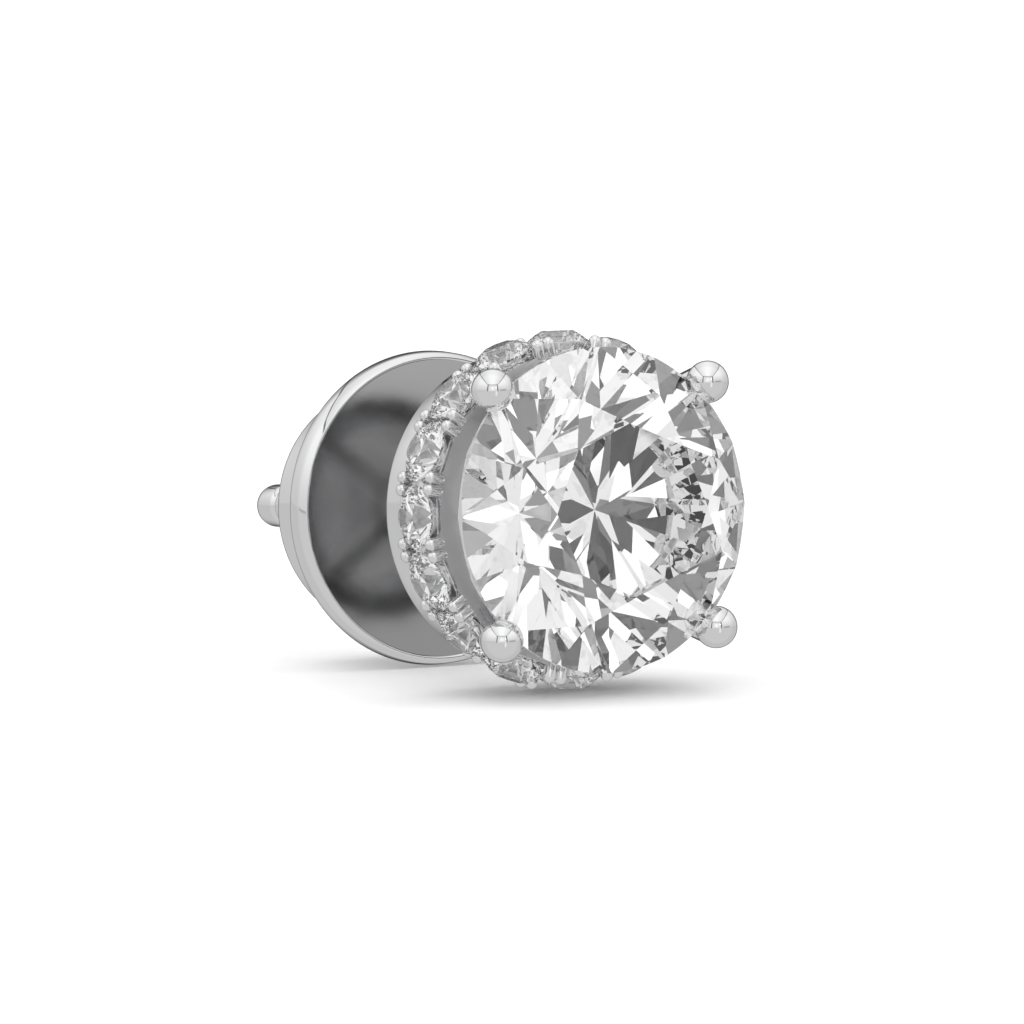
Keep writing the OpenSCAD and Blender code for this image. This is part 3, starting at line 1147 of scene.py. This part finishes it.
@dataclass(frozen=True)
class StudioRoom:
    """A pale room with a ceiling panel, and a window behind the camera between two dark posts.

    Args:
        facing: Direction of the window round the earring, in degrees.
        wall: Brightness of the walls at the horizon and higher up.
        corner: Brightness of the dim corner to the right of the camera.
        ground: Brightness of the ground as the metal mirrors it.
        panel: Brightness of the ceiling panel at its edge and in its middle.
        window: Brightness of the window.
        glow: How much brighter its middle is.
        lamp: Brightness of the lamp in the window.
        dark: Brightness of the posts and of the panel's frame.
        rear: Share of the light that comes from the room's rear half.
        behind: Brightness straight behind the earring.
        far_metal: Share of the light that is left after a second metal face, to the rear and to the front.
        in_stones: Brightness between the cards, as the stones show it.
        shallow_in_stones: Brightness by way of one facet.
        deep_in_stones: Brightness by way of many facets.
        ground_light: Light on the ground from the horizon and from straight above.
        backdrop: Brightness behind the earring in the picture.
    """

    facing: float
    wall: tuple[float, float] = (0.78, 1.12)
    corner: float = 0.4
    ground: float = 0.7
    panel: tuple[float, float] = (0.92, 1.2)
    window: float = 0.9
    glow: float = 0.35
    lamp: float = 2.5
    dark: float = 0.05
    rear: float = 0.9
    behind: float = 0.1
    behind_angles: tuple[float, float] = (14.0, 50.0)
    post_angle: float = 27.0
    post_width: float = 4.5
    window_top: float = 32.0
    panel_half: float = 0.85
    panel_front: float = 1.43
    frame_width: float = 0.05
    far_metal: tuple[float, float] = (0.1, 1.0)
    in_stones: float = 0.95
    shallow_in_stones: float = 0.5
    deep_in_stones: float = 0.8
    ground_light: tuple[float, float] = (0.7, 2.0)
    stone_turns: int = 2
    backdrop: float = 1.05

    @staticmethod
    def cards() -> dict[str, Card]:
        """The cards that give the stones their light and dark facets, each laid over the ones before."""
        black, grey, bright = 0.0, 0.12, 1.35
        return {
            "low bar on the right": Card((9, 54), (4.5, 19.5), black),
            "middle post": Card((-3, 9), (-24, 40.5), grey),
            "low card on the left": Card((-33, -6), (-48, -18), black),
            "low reflector on the right": Card((12, 33), (-19.5, 1.5), bright),
            "high card on the left": Card((-51, -30), (10.5, 37.5), black),
            "reflector on the left": Card((-30, -9), (-6, 33), bright),
            "camera": Card((-9, 18), (10.5, 21), black),
            "post on the right": Card((39, 51), (-22.5, 40.5), black),
            "high reflector on the right": Card((15, 30), (19.5, 42), bright),
            "low card on the right": Card((3, 48), (-46.5, -24), grey),
        }

    def build(self) -> None:
        """Makes the room's light and the floor."""
        world = bpy.data.worlds.new("studio_room")
        bpy.context.scene.world = world
        world.use_nodes = True
        plan = NodePlan(world.node_tree)
        level = self.by_path(plan)
        background = plan.add("ShaderNodeBackground", {"Color": (1, 1, 1, 1), "Strength": level})
        plan.add("ShaderNodeOutputWorld", {"Surface": background.outputs[0]})
        mesh = bmesh.new()
        bmesh.ops.create_grid(mesh, x_segments=8, y_segments=8, size=3)
        data = bpy.data.meshes.new("studio_floor")
        mesh.to_mesh(data)
        mesh.free()
        data.materials.append(PaleFloor("pale_floor").material())
        floor = bpy.data.objects.new("studio_floor", data)
        floor.visible_glossy = False
        floor.visible_transmission = False
        bpy.context.scene.collection.objects.link(floor)

    def by_path(self, plan: NodePlan) -> bpy.types.NodeSocket:
        """Lays out the room's brightness, as the metal, the stones and the camera meet it.

        Args:
            plan: The world's nodes.

        Returns:
            Socket with the brightness.
        """
        a = math.radians(self.facing)
        ways = {
            "across": (math.cos(a), math.sin(a), 0),
            "towards": (math.sin(a), -math.cos(a), 0),
            "upwards": (0, 0, 1),
        }
        look = plan.add("ShaderNodeTexCoord").outputs["Generated"]
        across, towards, upwards = (
            plan.add("ShaderNodeVectorMath", {0: look, 1: way}, operation="DOT_PRODUCT").outputs["Value"]
            for way in ways.values()
        )
        turn = plan.sum_of("DEGREES", plan.sum_of("ARCTAN2", across, towards))
        rise = plan.sum_of("DEGREES", plan.sum_of("ARCSINE", upwards))
        path = plan.add("ShaderNodeLightPath").outputs
        in_stone = plan.sum_of("GREATER_THAN", path["Transmission Depth"], 0.5)
        off_metal = plan.sum_of("LESS_THAN", path["Diffuse Depth"], 0.5)
        twice = plan.sum_of("MULTIPLY", off_metal, plan.sum_of("GREATER_THAN", path["Glossy Depth"], 1.5))
        shallow = plan.sum_of("LESS_THAN", path["Glossy Depth"], self.stone_turns - 0.5)
        deep = plan.sum_of(
            "MAXIMUM", plan.sum_of("GREATER_THAN", path["Glossy Depth"], self.stone_turns + 0.5),
            plan.sum_of("GREATER_THAN", path["Transmission Depth"], 2.5),
        )
        room = self.room(plan, across, towards, upwards, turn, rise)
        left = plan.step(towards, -0.2, 0.2, *self.far_metal)
        room = self.over(plan, room, plan.sum_of("MULTIPLY", room, left), twice)
        stones = self.over(plan, self.card_light(plan, turn, rise), self.shallow_in_stones, shallow)
        stones = self.over(plan, stones, self.deep_in_stones, deep)
        level = self.over(plan, room, stones, in_stone)
        on_ground = plan.sum_of("SUBTRACT", 1, off_metal)
        level = self.over(plan, level, plan.step(upwards, 0, 0.95, *self.ground_light), on_ground)
        return self.over(plan, level, self.backdrop, path["Is Camera Ray"])

    def card_light(self, plan: NodePlan, turn: Any, rise: Any) -> bpy.types.NodeSocket:
        """Lays out the cards that the stones show.

        Args:
            plan: The world's nodes.
            turn: Direction to the right of the camera, in degrees.
            rise: Direction above the horizon, in degrees.

        Returns:
            Socket with the brightness.
        """
        level: Any = self.in_stones
        for name, card in self.cards().items():
            inside = plan.sum_of(
                "MULTIPLY", self.between_ends(plan, turn, *card.turn), self.between_ends(plan, rise, *card.rise)
            )
            inside.node.label = name
            level = self.over(plan, level, card.level, inside)
        return level

    @staticmethod
    def between_ends(plan: NodePlan, value: Any, start: float, end: float, soft: float = 0.4) -> bpy.types.NodeSocket:
        """One where a value lies between two ends, with a soft edge, and zero elsewhere."""
        reach = plan.sum_of("ABSOLUTE", plan.sum_of("SUBTRACT", value, (start + end) / 2))
        half = (end - start) / 2
        return plan.step(reach, half - soft, half + soft, 1, 0)

    def room(
        self, plan: NodePlan, across: Any, towards: Any, upwards: Any, turn: Any, rise: Any
    ) -> bpy.types.NodeSocket:
        """Lays out the room that the metal mirrors.

        Args:
            plan: The world's nodes.
            across: Direction's share to the right of the camera.
            towards: Its share towards the camera.
            upwards: Its share upwards.
            turn: Direction to the right of the camera, in degrees.
            rise: Direction above the horizon, in degrees.

        Returns:
            Socket with the brightness.
        """
        side = plan.sum_of("ABSOLUTE", turn)
        height = plan.sum_of("MAXIMUM", upwards, 0.02)
        reach = plan.sum_of("DIVIDE", towards, height)
        spread = plan.sum_of("ABSOLUTE", plan.sum_of("DIVIDE", across, height))
        # Walls, and the ground with its line at the horizon
        level = plan.step(rise, 0, 40, *self.wall)
        corner = plan.sum_of(
            "MULTIPLY", self.between_ends(plan, turn, 40, 76, 6), self.between_ends(plan, rise, -10, 6, 3)
        )
        level = self.over(plan, level, self.corner, corner)
        in_ground = plan.step(rise, -1.2, -0.4, 1, 0)
        line = plan.sum_of("MULTIPLY", self.between_ends(plan, rise, -1.2, 0.8), plan.step(side, 27, 30))
        line = plan.sum_of("MULTIPLY", line, plan.step(side, 80, 100, 1, 0))
        level = self.over(plan, level, self.ground * 0.7, line)
        # Window between the posts, with its glow and its lamp
        in_window = plan.sum_of(
            "MULTIPLY", plan.step(side, self.post_angle - 0.6, self.post_angle, 1, 0),
            plan.step(rise, self.window_top - 0.6, self.window_top, 1, 0),
        )
        glow = plan.sum_of(
            "MULTIPLY", plan.step(side, 0, 18, self.glow, 0),
            plan.step(plan.sum_of("ABSOLUTE", plan.sum_of("SUBTRACT", rise, 14)), 0, 14, 1, 0),
        )
        level = self.over(plan, level, plan.sum_of("ADD", self.window, glow), in_window)
        # Ceiling panel
        in_panel = plan.sum_of(
            "MULTIPLY", plan.step(spread, self.panel_half - 0.02, self.panel_half, 1, 0),
            plan.step(reach, self.panel_front - 0.02, self.panel_front, 1, 0),
        )
        in_panel = plan.sum_of("MULTIPLY", in_panel, plan.step(upwards, 0.05, 0.15))
        middle = plan.step(spread, 0, self.panel_half, self.panel[1], self.panel[0])
        level = self.over(plan, level, middle, in_panel)
        # Dark posts beside the window, and its lintel
        half = self.post_width / 2
        post = plan.step(plan.sum_of("ABSOLUTE", plan.sum_of("SUBTRACT", side, self.post_angle)), half, half + 0.6, 1, 0)
        post = plan.sum_of("MULTIPLY", post, plan.step(rise, self.window_top, self.window_top + 1, 1, 0))
        level = self.over(plan, level, self.dark, post)
        lintel = self.between_ends(plan, rise, self.window_top - 1.2, self.window_top + 1.2)
        lintel = plan.sum_of("MULTIPLY", lintel, plan.step(side, self.post_angle, self.post_angle + 1, 1, 0))
        level = self.over(plan, level, self.dark * 4, lintel)
        # Frame of the ceiling panel
        edge = plan.sum_of("ABSOLUTE", plan.sum_of("SUBTRACT", spread, self.panel_half))
        edge = plan.step(edge, self.frame_width / 2, self.frame_width / 2 + 0.02, 1, 0)
        edge = plan.sum_of("MULTIPLY", edge, plan.step(reach, self.panel_front, self.panel_front + 0.02, 1, 0))
        edge = plan.sum_of("MULTIPLY", edge, plan.step(upwards, 0.05, 0.15))
        level = self.over(plan, level, self.dark * 4, edge)
        level = self.over(plan, level, self.ground, in_ground)
        # The lamp and its streak on the ground
        lamp = plan.sum_of("MULTIPLY", self.between_ends(plan, turn, 17, 22), self.between_ends(plan, rise, 15, 20))
        level = self.over(plan, level, self.lamp, lamp)
        streak = plan.sum_of(
            "MULTIPLY", self.between_ends(plan, turn, 15, 24, 3), self.between_ends(plan, rise, -26, -3, 4)
        )
        level = self.over(plan, level, self.ground * 1.45, streak)
        # Straight behind the earring
        away = plan.sum_of("DEGREES", plan.sum_of("ARCCOSINE", plan.sum_of("MULTIPLY", towards, -1)))
        dimming = plan.step(away, *self.behind_angles, self.behind, 1)
        level = plan.sum_of("MULTIPLY", level, plan.step(towards, -0.3, 0.1, self.rear, 1))
        return plan.sum_of("MULTIPLY", level, dimming)

    @staticmethod
    def over(plan: NodePlan, under: Any, top: Any, amount: Any) -> bpy.types.NodeSocket:
        """Brightness with one part of the room laid over the rest."""
        mix = plan.add("ShaderNodeMix", {0: amount, 2: under, 3: top}, data_type="FLOAT")
        return mix.outputs[0]


def set_up_picture() -> None:
    """Sets how the picture is traced and shown."""
    scene = bpy.context.scene
    scene.view_settings.view_transform = "Standard"
    scene.view_settings.look = "None"
    scene.view_settings.exposure = 0
    scene.view_settings.gamma = 1
    scene.cycles.max_bounces = 32
    scene.cycles.diffuse_bounces = 4
    scene.cycles.glossy_bounces = 16
    scene.cycles.transmission_bounces = 32
    scene.cycles.transparent_max_bounces = 8
    scene.cycles.caustics_reflective = True
    scene.cycles.caustics_refractive = True
    scene.cycles.blur_glossy = 0.3
    scene.cycles.sample_clamp_indirect = 8
    scene.cycles.use_denoising = True


def main() -> None:
    """Builds the earring, its camera and its studio."""
    logging.basicConfig(level=logging.INFO, format="%(name)s: %(message)s")
    large = BrilliantCut(6.5, 0.53, 0.166, 0.03)
    small = BrilliantCut(1.28, 0.5, 0.172, 0.036, rim_steps=48)
    lie = PostFrame.of_frame(large)
    camera = PhotoCamera()
    camera.place(lie.origin)
    stones = Stones(lie, large, small)
    stones.build()
    Setting(lie, stones).build()
    PushBack(lie).build()
    StudioRoom(camera.azimuth).build()
    set_up_picture()


if __name__ == "__main__":
    main()
